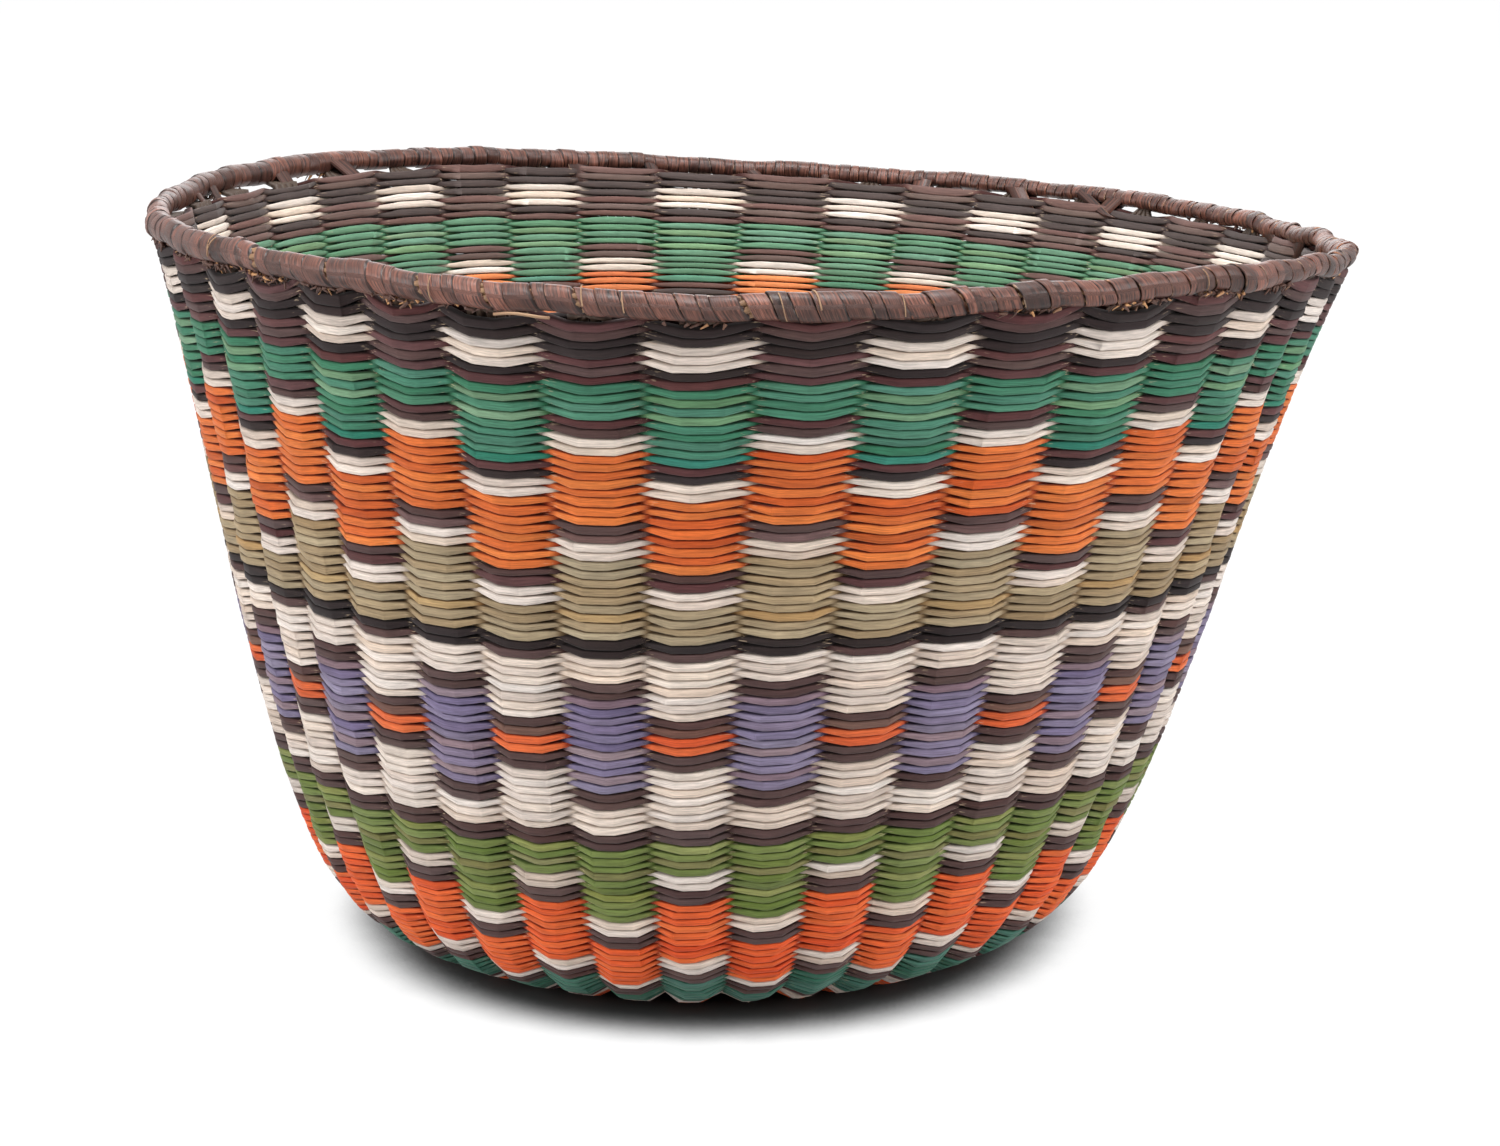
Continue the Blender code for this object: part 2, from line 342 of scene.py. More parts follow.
def turn(column, arc):
    """The angle of a place in the columns, which may lie between two."""
    angle = (column + FRONT_COLUMN_SHARE) * math.tau / COLUMNS
    return angle + drift(angle, arc) * math.tau / COLUMNS


def slow_noise(rows, columns, spread):
    """Random numbers that change slowly down each column, of about unit size."""
    raw = rng.normal(size=(rows + 2 * spread, columns))
    window = np.hanning(2 * spread + 1)
    window /= np.sqrt((window**2).sum())
    smooth = [np.convolve(raw[:, i], window, "same")[spread : spread + rows] for i in range(columns)]
    return np.stack(smooth, 1)


def stem_section():
    """The stem's section as shares of its half height and half depth, round from its upper outer corner."""
    up, out = np.array(STEM_CORNER).T
    ups = np.concatenate([up, up[::-1], -up, -up[::-1]])
    deep = np.concatenate([-out, out[::-1], out, -out[::-1]])
    return ups, deep


def inside_painted_light(base):
    """The painted light added to dyes inside the basket, in a warmer tint for the strong ones."""
    high = base.max(-1)
    strong = np.minimum(high / 0.2, 1)
    added_light = INSIDE_LIGHT_STRONG * (1 - base.min(-1) / high) * strong + INSIDE_LIGHT_DARK * (1 - strong) + INSIDE_LIGHT_ALL
    tint = np.stack([np.ones(len(base)), 0.78 + 0.22 * strong, 0.75 - 0.15 * strong], -1)
    return added_light[:, None] * tint


class Weft:
    """The courses of one kind: kind 0 passes outside the even columns, kind 1 outside the odd ones."""

    def __init__(self, kind):
        self.kind = kind
        self.outside = (np.arange(COLUMNS) % 2 == kind)[None, :, None]
        edges = [wall.arc(level) for _, level, *_ in ZONES[:-1]] + [wall.base_edge(), wall.length[-1]]
        found = []
        for index, spec in enumerate(ZONES):
            dyes = courses(spec[2 + kind])
            step = (edges[index + 1] - edges[index]) / len(dyes)
            first = edges[index] + (0.5 if kind == 0 else 0.0) * step
            found += [(first + step * row, step, index, dye) for row, dye in enumerate(dyes)]
        *measures, self.names = zip(*found)
        self.middle, self.pitch, self.zone = (np.array(values) for values in measures)
        self.rows = len(self.names)
        if kind == 1:
            self.middle[0] += FIRST_ODD_DROP * self.pitch[0]
        self.lay_out()

    def kinks(self):
        """Where each pass bends over its bundle of stems, left and right of the column's middle."""
        size = (self.rows, COLUMNS)
        spread = FLAT_SHARE + FLAT_SLOW * slow_noise(*size, 5) + FLAT_QUICK * rng.normal(size=size)
        low = np.clip(self.middle / wall.arc(0.0), 0, 1)[:, None] ** 2
        flat_share = np.clip(spread + FLAT_BELOW * low, 0.12, 1)
        centre = OFF_SLOW * slow_noise(*size, 4) + OFF_QUICK * rng.normal(size=size)
        left = np.clip(centre - FLAT_HALF * flat_share, -0.25, -0.02)
        right = np.clip(centre + FLAT_HALF * flat_share, 0.02, 0.25)
        return left, right

    def places(self, left, right):
        """The places along each pass, in columns from the column's middle."""
        outer = [place * np.ones((self.rows, COLUMNS)) for place in (*NARROW_PLACES, 0.5)]
        found = [-place for place in reversed(outer)]
        found += [left - KINK_BEVEL, left + KINK_BEVEL, (left + right) / 2]
        found += [right - KINK_BEVEL, right + KINK_BEVEL, *outer[:-1]]
        return np.stack(found, -1)

    def lay_out(self):
        """The middle line, half height and depth of each course at the places of each column."""
        left, right = self.kinks()
        self.x = self.places(left, right)
        self.column = np.arange(COLUMNS)[:, None] + self.x
        self.taper = np.clip((0.5 - np.abs(self.x)) / (0.5 - NARROW_START), 0, 1) ** NARROW_POWER
        rise = (self.x + 0.5) / (left + 0.5)[..., None]
        fall = (0.5 - self.x) / (0.5 - right)[..., None]
        share = np.clip(np.minimum(rise, fall), 0, 1)
        self.depth = self.depths(share)
        self.arc, self.half = self.lines(share)
        self.follow_hand_work()

    def depths(self, share):
        """How deep the courses run: at a face of the wall in a pass, and between its faces at the ends."""
        near = STEM_HALF_DEPTH
        far = WALL_THICKNESS - STEM_HALF_DEPTH
        between = WALL_THICKNESS / 2
        top = np.where(self.outside, near, far)
        crown = rng.uniform(0, CROWN, (self.rows, COLUMNS))[..., None] * np.where(self.outside, 1, -1)
        crown = crown * (np.arange(self.x.shape[-1]) == MIDDLE_PLACE)
        return between + (top - between) * share - crown

    def at_crossings(self, values):
        """Values of the crossings left of the columns, each for both half passes that meet there."""
        return np.where(self.x < 0, values[..., None], np.roll(values, -1, axis=1)[..., None])

    def lines(self, share):
        """How far down the wall the courses run and their half heights, before hand work moves them."""
        pitch = self.pitch[:, None, None]
        edges = rng.normal(size=(self.rows + 1, COLUMNS)) * EDGE_CHANGE
        upper = -0.5 + edges[:-1]
        lower = 0.5 + edges[1:]
        full = (lower - upper)[..., None] / 2 * STEM_FILL * pitch
        shift = (lower + upper)[..., None] / 2 * pitch
        side = self.at_crossings(rng.normal(size=(self.rows, COLUMNS)) * CROSSING_CHANGE) * pitch
        tips = TIP_SHARE + TIP_CHANGE * rng.normal(size=(self.rows, COLUMNS))
        tip = pitch * self.at_crossings(tips)
        sag = SAG * (share - 0.5) * self.outside
        arc = self.middle[:, None, None] + side + (shift - side) * self.taper + sag
        return arc, tip + (full - tip) * self.taper

    def follow_hand_work(self):
        """Moves the courses as hand work did, and makes them higher or lower to fill the space they have."""
        angle = turn(self.column, self.arc)
        step = 0.001
        change = row_drift(angle, self.arc + step) - row_drift(angle, self.arc - step)
        self.half *= np.clip(1 + change / (2 * step), 0.8, 1.25)
        self.arc += row_drift(angle, self.arc)
        rise = top_rise(angle, self.x, self.arc)
        self.arc -= rise
        self.half *= 1 + np.clip(1.3 * rise / TOP_RISE_REACH, 0, 0.5)

    def points(self, rows):
        """The surface points of some rows, as an array (row, place round, point of section, xyz)."""
        up, deep = stem_section()
        arc = self.arc[rows][..., None] + self.half[rows][..., None] * up
        depth = self.depth[rows][..., None] + STEM_HALF_DEPTH * deep
        angle = turn(self.column[rows], self.arc[rows])[..., None] + 0 * arc
        return place(angle, *wall.point(arc, depth)).reshape(len(rows), -1, STEM_POINTS, 3)

    def openness(self, rows):
        """How open to view each point is, as a factor of painted shade: a pass shows on one side, and never
        between the courses.
        """
        deep = stem_section()[1]
        side = np.where(self.outside, 1, -1) * np.clip((0.5 - np.abs(self.x[rows])) / 0.06, 0, 1)
        seen_out = (0.55 + 0.45 * side)[..., None] * np.clip((-deep - 0.3) / 0.5, 0, 1)
        seen_in = (0.55 - 0.45 * side)[..., None] * np.clip((deep - 0.3) / 0.5, 0, 1)
        return (seen_out + seen_in).reshape(len(rows), -1, STEM_POINTS)

    def base_dyes(self, rows):
        return np.array([linear(DYES[self.names[row]]) for row in rows])

    def painted_shades(self, rows):
        """The colour of each surface point, with painted shade: darker and richer between the courses and on
        a pass's hidden side, and with painted light, lighter inside the basket.
        """
        base = self.base_dyes(rows)
        inside = np.clip(stem_section()[1], 0, 1)[None, None, :, None]
        # Painted light on the inner faces of the stems
        dyes = self.dyes(rows)[:, :, None] + inside_painted_light(base)[:, None, None] * inside
        high = base.max(-1)
        pale = (high > 0.4) & (base.min(-1) > 0.25)
        # Painted shade: the share of the dye's brightness that the grooves keep, and more saturation where it
        # is darker
        least = np.where(pale, PAINTED_GROOVE_PALE, PAINTED_GROOVE_OTHER)[:, None, None]
        light = least + (1 - least) * self.openness(rows)
        richer = 1 + 0.8 * (1 - base / high[:, None])
        return dyes * light[..., None] ** richer[:, None, None, :]

    def dyes(self, rows):
        """The colour of each place round the course."""
        base = self.base_dyes(rows)[:, None, None, :]
        count = len(rows)
        per_row = 1 + ROW_CHANGE * rng.normal(size=(count, 1, 1, 1))
        depth = PASS_CHANGE + STRONG_PASS_CHANGE * (1 - base / base.max(-1, keepdims=True))
        per_pass = 1 + np.clip(rng.normal(size=(count, COLUMNS, 1, 1)), -1.8, 1.8) * depth
        warm = np.clip(rng.normal(size=(count, COLUMNS, 1, 1)), -0.7, 2.2) * np.array([0.02, 0.0, -0.03])
        along = 1 + ALONG_CHANGE * rng.normal(size=(count, COLUMNS, self.x.shape[-1], 1))
        found = base * (per_row * per_pass * along * (1 + warm))
        found = found / np.maximum(found.max(-1, keepdims=True) / DYE_CAP, 1)
        return np.maximum(found, 0).reshape(count, -1, 3)


def new_mesh(name, points, faces):
    mesh = bpy.data.meshes.new(name)
    mesh.from_pydata(points, [], faces)
    mesh.update()
    mesh.shade_smooth()
    return mesh


# What the materials read from a mesh: its name, kind, and the field that holds it
LAYERS = {
    "dye": ("FLOAT_COLOR", "color"),
    "lie": ("FLOAT_VECTOR", "vector"),
    "worn": ("FLOAT", "value"),
    "painted_shade_and_tone": ("FLOAT", "value"),
}


def paint(mesh, name, values):
    """Stores one number, vector or colour per point."""
    kind, field = LAYERS[name]
    layer = mesh.attributes.new(name, kind, "POINT")
    layer.data.foreach_set(field, np.ascontiguousarray(values, np.float32).ravel())


def lie_of(shape, along, across, through):
    """Where points lie in their stem or strip, for the grain of its material."""
    return np.stack([np.broadcast_to(part, shape) for part in (along, across, through)], -1)


def map_corners(mesh, corners):
    layer = mesh.uv_layers.new(name="OFBake")
    layer.uv.foreach_set("vector", np.ascontiguousarray(corners, np.float32).ravel())


def add_object(name, data):
    made = bpy.data.objects.new(name, data)
    bpy.context.scene.collection.objects.link(made)
    return made


def add_piece(name, mesh, material, nodes):
    """Puts a finished mesh in the scene, riding on the basket."""
    mesh.materials.append(material)
    made = add_object(name, mesh)
    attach(made, "root")
    if nodes:
        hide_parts(*nodes)


def hoop_faces(hoops, around, section):
    """Quads of closed hoops whose points lie in the order (hoop, place round, point of section)."""
    hoop = np.arange(hoops)[:, None, None] * around * section
    one = np.arange(around)[None, :, None]
    two = (one + 1) % around
    here = np.arange(section)[None, None, :]
    after = (here + 1) % section
    corners = (one * section + here, one * section + after, two * section + after, two * section + here)
    return np.stack([hoop + corner for corner in corners], -1).reshape(-1, 4)


def hoop_map(hoops, around, section, bands=4):
    """A map of such hoops: each is cut in a few lengths, which lie above each other in bands."""
    length = around // bands
    place_round = np.arange(around)
    band = np.arange(hoops)[:, None] * bands + place_round // length
    low = (place_round % length) / length
    high = (place_round % length + 1) / length
    margin = 0.04
    v0 = margin + (1 - 2 * margin) * np.arange(section) / section
    v1 = margin + (1 - 2 * margin) * (np.arange(section) + 1) / section
    total = hoops * bands
    shape = (hoops, around, section)
    u0 = np.broadcast_to(low[None, :, None], shape)
    u1 = np.broadcast_to(high[None, :, None], shape)
    bottom = (band[..., None] + v0) / total
    top = (band[..., None] + v1) / total
    corners = [np.stack(pair, -1) for pair in ((u0, bottom), (u0, top), (u1, top), (u1, bottom))]
    return np.stack(corners, -2).reshape(-1, 2)


def add_weft(weft, zone, material):
    """The courses of one kind in one zone, as one piece."""
    node = ZONES[zone][0]
    rows = np.flatnonzero(weft.zone == zone)
    points = weft.points(rows)
    shape = points.shape[:3]
    count = len(rows)
    name = f"{node}_{('even', 'odd')[weft.kind]}"
    mesh = new_mesh(name, points.reshape(-1, 3), hoop_faces(*shape))
    dye = np.ones((*shape, 4))
    dye[..., :3] = weft.painted_shades(rows)
    paint(mesh, "dye", dye)
    radius = wall.point(weft.middle[rows], 0)[0][:, None]
    along = (weft.column[rows].reshape(count, -1) * math.tau / COLUMNS * radius)[..., None]
    up, deep = stem_section()
    through = rng.uniform(0, 40, (count, 1, 1)) + up * 0.004
    paint(mesh, "lie", lie_of(shape, along, 0.004 - deep * 0.004, through))
    worn = (1 - weft.taper[rows]).reshape(count, -1)[..., None]
    paint(mesh, "worn", np.broadcast_to(worn, shape))
    map_corners(mesh, hoop_map(*shape))
    add_piece(name, mesh, material, [node])


# Materials


def add_node(tree, kind, inputs=(), **settings):
    made = tree.nodes.new(kind)
    for key, value in settings.items():
        setattr(made, key, value)
    for key, value in dict(inputs).items():
        if isinstance(value, bpy.types.NodeSocket):
            tree.links.new(value, made.inputs[key])
        else:
            made.inputs[key].default_value = value
    return made


def read(tree, name, output="Fac"):
    return add_node(tree, "ShaderNodeAttribute", attribute_name=name).outputs[output]


def noise(tree, by, detail=2.0, rough=0.5):
    """Noise over the place in a stem or strip, stretched by a factor along each axis."""
    lie = read(tree, "lie", "Vector")
    stretched = add_node(tree, "ShaderNodeVectorMath", {0: lie, 1: by}, operation="MULTIPLY")
    inputs = {"Vector": stretched.outputs[0], "Scale": 1.0, "Detail": detail, "Roughness": rough}
    return add_node(tree, "ShaderNodeTexNoise", inputs).outputs["Fac"]


def fit_range(tree, value, low, high, to_low, to_high):
    inputs = {0: value, 1: low, 2: high, 3: to_low, 4: to_high}
    return add_node(tree, "ShaderNodeMapRange", inputs).outputs[0]


def math_node(tree, operation, one, two):
    return add_node(tree, "ShaderNodeMath", {0: one, 1: two}, operation=operation).outputs[0]


def mix(tree, share, one, two):
    return add_node(tree, "ShaderNodeMix", {0: share, 6: one, 7: two}, data_type="RGBA").outputs[2]


def scale_colour(tree, colour, by):
    inputs = {0: colour, "Scale": by}
    return add_node(tree, "ShaderNodeVectorMath", inputs, operation="SCALE").outputs[0]


def rgba(colour):
    return (*linear(colour), 1.0)


def new_material(name):
    made = bpy.data.materials.new(name)
    made.use_nodes = True
    return made, made.node_tree, made.node_tree.nodes["Principled BSDF"]


def spread(tree, value, to_low=0.0, to_high=1.0):
    """A noise, from where most of it begins to where most of it ends, as a range of its own."""
    return fit_range(tree, value, 0.3, 0.7, to_low, to_high)


def dress(tree, shader, colour, grain, rough, relief=0.0, height=0.0003):
    """Gives a shader its colour, and a roughness and fine relief that follow the grain."""
    tree.links.new(colour, shader.inputs["Base Color"])
    tree.links.new(spread(tree, grain, *rough), shader.inputs["Roughness"])
    if relief:
        inputs = {"Strength": relief, "Distance": height, "Height": grain}
        tree.links.new(add_node(tree, "ShaderNodeBump", inputs).outputs[0], shader.inputs["Normal"])


def stem_material(name):
    """A dyed stem: streaks along it, blotches, and bare wood in the worn places near its crossings."""
    made, tree, shader = new_material(name)
    streaks = noise(tree, (110, 900, 900), 3.0, 0.6)
    blotches = spread(tree, noise(tree, (42, 60, 60)), 0.88, 1.08)
    fibres = spread(tree, noise(tree, (420, 3200, 3200)), 0.93, 1.06)
    tone = math_node(tree, "MULTIPLY", spread(tree, streaks, 0.69, 1.22), blotches)
    tone = math_node(tree, "MULTIPLY", tone, fibres)
    dye = scale_colour(tree, read(tree, "dye", "Color"), tone)
    flecks = fit_range(tree, noise(tree, (260, 500, 500)), 0.62, 0.68, 0, 1)
    worn = fit_range(tree, read(tree, "worn"), 0.3, 0.9, 0, 0.6)
    bare = math_node(tree, "MULTIPLY", flecks, worn)
    shader.inputs["Specular IOR Level"].default_value = 0.12
    shader.inputs["Sheen Weight"].default_value = 0.08
    dress(tree, shader, mix(tree, bare, dye, rgba((205, 180, 150))), streaks, (0.58, 0.74), 0.35)
    return made


def wood_material(name, light, deep):
    """Peeled undyed stems: pale and brown streaks along them, and painted shade, dark brown where they are
    hidden.
    """
    made, tree, shader = new_material(name)
    streaks = noise(tree, (60, 900, 900), 3.0, 0.6)
    wood = mix(tree, spread(tree, streaks), rgba(deep), rgba(light))
    # Painted shade: mixed to dark brown where the stems are hidden
    wood = mix(tree, read(tree, "painted_shade_and_tone"), rgba((44, 28, 24)), wood)
    dress(tree, shader, wood, streaks, (0.55, 0.7), 0.3)
    return made


def leaf_material(name):
    """A dyed leaf strip: fibres along it, turns of unlike tone, painted shade in the grooves between turns,
    and pale or rusty rubbed edges.
    """
    made, tree, shader = new_material(name)
    fibres = noise(tree, (70, 1500, 1500), 3.0, 0.65)
    blotches = noise(tree, (70, 90, 90))
    patches = noise(tree, (180, 400, 400), 2.0, 0.55)
    brown = mix(tree, fit_range(tree, fibres, 0.36, 0.66, 0, 1), rgba((28, 15, 12)), rgba((124, 78, 64)))
    brown = mix(tree, fit_range(tree, blotches, 0.45, 0.7, 0, 0.65), brown, rgba((44, 25, 24)))
    # Each turn's tone, and the painted shade in the grooves between turns
    brown = scale_colour(tree, brown, read(tree, "painted_shade_and_tone"))
    edge = fit_range(tree, read(tree, "worn"), 0.92, 0.98, 0, 1)
    rubbed = math_node(tree, "MULTIPLY", edge, fit_range(tree, patches, 0.5, 0.66, 0, 0.85))
    rusty = mix(tree, fit_range(tree, blotches, 0.4, 0.6, 0, 1), rgba((172, 110, 74)), rgba((186, 156, 130)))
    shader.inputs["Specular IOR Level"].default_value = 0.44
    dress(tree, shader, mix(tree, rubbed, brown, rusty), fibres, (0.34, 0.55), 0.6, 0.0004)
    return made


def fibre_material(name):
    """Broken fibres: dark brown, with rusty and pale ones among them."""
    made, tree, shader = new_material(name)
    each = noise(tree, (0, 3, 3), 0.0)
    streaks = noise(tree, (300, 2500, 2500))
    brown = mix(tree, spread(tree, streaks), rgba((52, 34, 32)), rgba((104, 68, 52)))
    pale = mix(tree, spread(tree, streaks), rgba((170, 104, 56)), rgba((206, 164, 116)))
    colour = mix(tree, fit_range(tree, each, 0.56, 0.6, 0, 1), brown, pale)
    dress(tree, shader, colour, streaks, (0.5, 0.75))
    return made


# Rim

RIM_TURNS = 235
TURN_STEPS = 22
RIM_RADIUS = 0.0047
STRIP_WIDTH = 0.01
# How much faster than its mean the strip advances where it crosses the outside of the rim
WINDING_SLANT = 0.8
# The turns are widest at one angle of the rim and narrowest opposite: that angle, and by what share
WIDEST_TURNS = -0.6
TURN_CHANGE = 0.33
# How unlike the turns are, as spread and limit: their lead in turns, their height, and their shade
LEAD_CHANGE = (0.24, 0.34)
THICK_CHANGE = (0.00026, 0.0005)
SHADE_CHANGE = (0.32, 0.6)
# Across the strip, from its free edge to where the next turn lies on it, and under that turn and back:
# place in the strip's width, share of the way to the next turn's edge, distance from the rim's middle
# (less STRIP_SINK), and painted shade: darker in the groove at the next turn's edge and under the free edge
STRIP_SINK = 0.00025
STRIP_SECTION = (
    (-0.5, 0.0, 0.00415, 0.6),
    (-0.492, 0.0, 0.00442, 1.0),
    (-0.465, 0.0, 0.00448, 1.0),
    (-0.25, 0.5, 0.0045, 1.0),
    (-0.065, 1.0, 0.00446, 1.0),
    (-0.035, 1.0, 0.00438, 0.3),
    (0.005, 1.0, 0.00385, 0.3),
    (0.5, 0.0, 0.0036, 1.0),
    (0.5, 0.0, 0.0034, 1.0),
    (0.0, 0.0, 0.0036, 1.0),
    (-0.5, 0.0, 0.00385, 1.0),
)


def turn_values(spread, limit):
    """A random value for each turn of the strip, within a limit."""
    return np.clip(rng.normal(size=RIM_TURNS) * spread, -limit, limit)


def wound(values):
    """Values of the turns, blended from each turn to the next along the strip's places."""
    part = np.arange(TURN_STEPS) / TURN_STEPS
    blend = part * part * (3 - 2 * part)
    return (values[:, None] * (1 - blend) + np.roll(values, -1)[:, None] * blend).ravel()


def rim_lumps(angle):
    """Small lumps of the rim, outwards and upwards, rougher towards its right end."""
    rough = 0.00045 + 0.0006 * bump(angle, 1.5, 0.7)
    out = np.sin(23 * angle + 1.0) + 0.8 * np.sin(37 * angle + 2.0)
    rise = np.sin(19 * angle + 0.4) + 0.8 * np.sin(41 * angle + 1.3)
    return rough * out * 0.7, rough * rise * 0.7


def rim_place(angle, across, up):
    """A point of the rim, from its angle and its place in the rim's section."""
    out, rise = rim_lumps(angle)
    radius = TOP_RADIUS + rim_out(angle) + out + across
    return place(angle, radius, RIM_HEIGHT + rim_rise(angle) + rise + up)


def strip_across(lead):
    """The places across the strip at each of its steps: the next turn covers what lies beyond its edge."""
    following = np.roll(lead, -TURN_STEPS)
    following[-TURN_STEPS:] += math.tau
    gap = (following - lead) * TOP_RADIUS / STRIP_WIDTH
    edge = np.clip(gap, 0.35, 0.92) - 0.5
    first, share = np.array(STRIP_SECTION).T[:2]
    return first + share * edge[:, None]


def strip_path():
    """Along the strip: its angle round the basket, its angle round the rim, and how far out it lies."""
    step = np.arange(RIM_TURNS * TURN_STEPS)
    lead = turn_values(*LEAD_CHANGE)
    thick = wound(turn_values(*THICK_CHANGE))
    advance = step / TURN_STEPS + wound(lead)
    turned = -step / TURN_STEPS * math.tau
    wrinkle = 0.00012 * np.sin(2.7 * turned + 1.0) + 0.0001 * np.sin(5.3 * turned)
    slant = WINDING_SLANT / math.tau * np.sin(math.tau * step / TURN_STEPS)
    angle = (advance + slant) * math.tau / RIM_TURNS
    angle = angle + TURN_CHANGE * np.sin(angle - WIDEST_TURNS)
    wrinkle = wrinkle + 0.0002 * np.sin(9 * angle + 1.0) + 0.00015 * np.sin(17 * angle)
    return angle, turned, thick + wrinkle


def add_binding(material):
    """The leaf strip wound round the rim, each turn lapping over the one before it."""
    angle, turned, out = strip_path()
    across = strip_across(angle)
    level, painted_shades = np.array(STRIP_SECTION).T[2:]
    distance = level - STRIP_SINK + out[:, None]
    turned = turned[:, None] + 0 * distance
    angle = angle[:, None] + across * STRIP_WIDTH / TOP_RADIUS
    points = rim_place(angle, distance * np.cos(turned), distance * np.sin(turned))
    steps, section = across.shape
    mesh = new_mesh("rim_binding_strip", points.reshape(-1, 3), hoop_faces(1, steps, section))
    step = np.arange(steps)[:, None]
    along = step / TURN_STEPS * math.tau * RIM_RADIUS
    paint(mesh, "lie", lie_of(across.shape, along, across * STRIP_WIDTH, step // TURN_STEPS * 0.73))
    paint(mesh, "worn", np.abs(across) * 2)
    # Each turn's own tone, times the section's painted shade in the groove and under the free edge
    painted_shade_and_tone = 1 + wound(turn_values(*SHADE_CHANGE))
    paint(mesh, "painted_shade_and_tone", painted_shade_and_tone[:, None] * painted_shades)
    map_corners(mesh, hoop_map(1, steps, section, bands=47))
    add_piece("rim_binding_strip", mesh, material, ["rim_binding"])


CORE_STEMS = 6
CORE_STEM_RADIUS = 0.0013
# How far the stems' middles lie from the rim's, and how often they twist round it
CORE_RADIUS = 0.0022
CORE_TWISTS = 30
CORE_STEPS = 480
CORE_SIDES = 6


def add_core(material):
    """The hoop of bent-over stems that the strip is wound round."""
    angle = np.arange(CORE_STEPS) * math.tau / CORE_STEPS
    section = np.arange(CORE_SIDES) * math.tau / CORE_SIDES
    hoops = []
    for stem in range(CORE_STEMS):
        twist = CORE_TWISTS * angle + stem * math.tau / CORE_STEMS
        across = CORE_RADIUS * np.cos(twist)[:, None] + CORE_STEM_RADIUS * np.cos(section)
        up = CORE_RADIUS * np.sin(twist)[:, None] + CORE_STEM_RADIUS * np.sin(section)
        hoops.append(rim_place(angle[:, None] + 0 * across, across, up))
    points = np.array(hoops)
    shape = points.shape[:-1]
    mesh = new_mesh("rim_core_stems", points.reshape(-1, 3), hoop_faces(*shape)[:, ::-1])
    through = np.sin(section) * CORE_STEM_RADIUS + (np.arange(CORE_STEMS) * 0.37)[:, None, None]
    along = (angle * TOP_RADIUS)[None, :, None]
    paint(mesh, "lie", lie_of(shape, along, np.cos(section) * CORE_STEM_RADIUS, through))
    paint(mesh, "painted_shade_and_tone", np.ones(shape))
    map_corners(mesh, hoop_map(*shape, bands=8))
    add_piece("rim_core_stems", mesh, material, ["rim_core"])


STITCH_WIDTH = 0.0052
STITCH_THICKNESS = 0.0005
STITCH_STEPS = 28
# A stitch's section: its width and its thickness, as shares
STITCH_ACROSS = (-0.5, 0.0, 0.5, 0.5, 0.0, -0.5)
STITCH_LIFT = (0.0, 0.5, 0.0, -1.0, -0.5, -1.0)
# How far a stitch reaches round the rim's middle, and round the top course's
STITCH_RIM = 0.0036
STITCH_WALL = 0.0019
# How far below the top of the weft it goes, and by how much more some go
STITCH_DEPTH = 0.003
STITCH_DEPTH_CHANGE = 0.0014


def stitch_points(spot):
    """The surface points of one stitch, a loop round the rim and the top course."""
    middle = turn(spot, 0.0)
    slant = rng.normal() * 0.09
    across = np.array(STITCH_ACROSS) * STITCH_WIDTH * rng.uniform(0.6, 1.9)
    lift = np.array(STITCH_LIFT) * STITCH_THICKNESS
    grip = -WALL_THICKNESS / 2 - rim_out(middle)
    drop = WALL_HEIGHT - RIM_HEIGHT + TOP_RISE - STITCH_DEPTH - STITCH_DEPTH_CHANGE * rng.uniform()
    ends = [(np.array([0.0, 0.0]), STITCH_RIM), (np.array([grip, drop]), STITCH_WALL)]
    points = []
    for turned in np.arange(STITCH_STEPS) * math.tau / STITCH_STEPS:
        facing = np.array([math.cos(turned), math.sin(turned)])
        reach = [centre @ facing + size for centre, size in ends]
        centre, size = ends[int(np.argmax(reach))]
        spots = centre + facing * (size + lift)[:, None]
        angle = middle + (across + slant * spots[:, 1] * 10) / TOP_RADIUS
        points.append(rim_place(angle, spots[:, 0], spots[:, 1]))
    return points


def add_stitches(material):
    """Loops of the strip that tie the rim of the back to the stakes' tips and the top course."""
    spots = [half / 2 + rng.normal() * 0.12 for half in range(2 * COLUMNS) if rng.uniform() < 0.5]
    points = np.array([stitch_points(spot) for spot in spots if math.cos(turn(spot, 0.0)) < -0.15])
    shape = points.shape[:-1]
    count = len(points)
    mesh = new_mesh("rim_stitches", points.reshape(-1, 3), hoop_faces(*shape))
    along = (np.arange(STITCH_STEPS) * 0.0015)[None, :, None]
    across = np.array(STITCH_ACROSS)
    through = (np.arange(count) * 0.61)[:, None, None]
    paint(mesh, "lie", lie_of(shape, along, across * STITCH_WIDTH, through))
    paint(mesh, "worn", np.broadcast_to(np.abs(across) * 2, shape))
    painted_shade_and_tone = np.clip(0.55 + 0.15 * rng.normal(size=(count, 1, 1)), 0.3, 0.9)
    paint(mesh, "painted_shade_and_tone", np.broadcast_to(painted_shade_and_tone, shape))
    map_corners(mesh, hoop_map(*shape, bands=1))
    add_piece("rim_stitches", mesh, material, [])


# Stakes and fibres


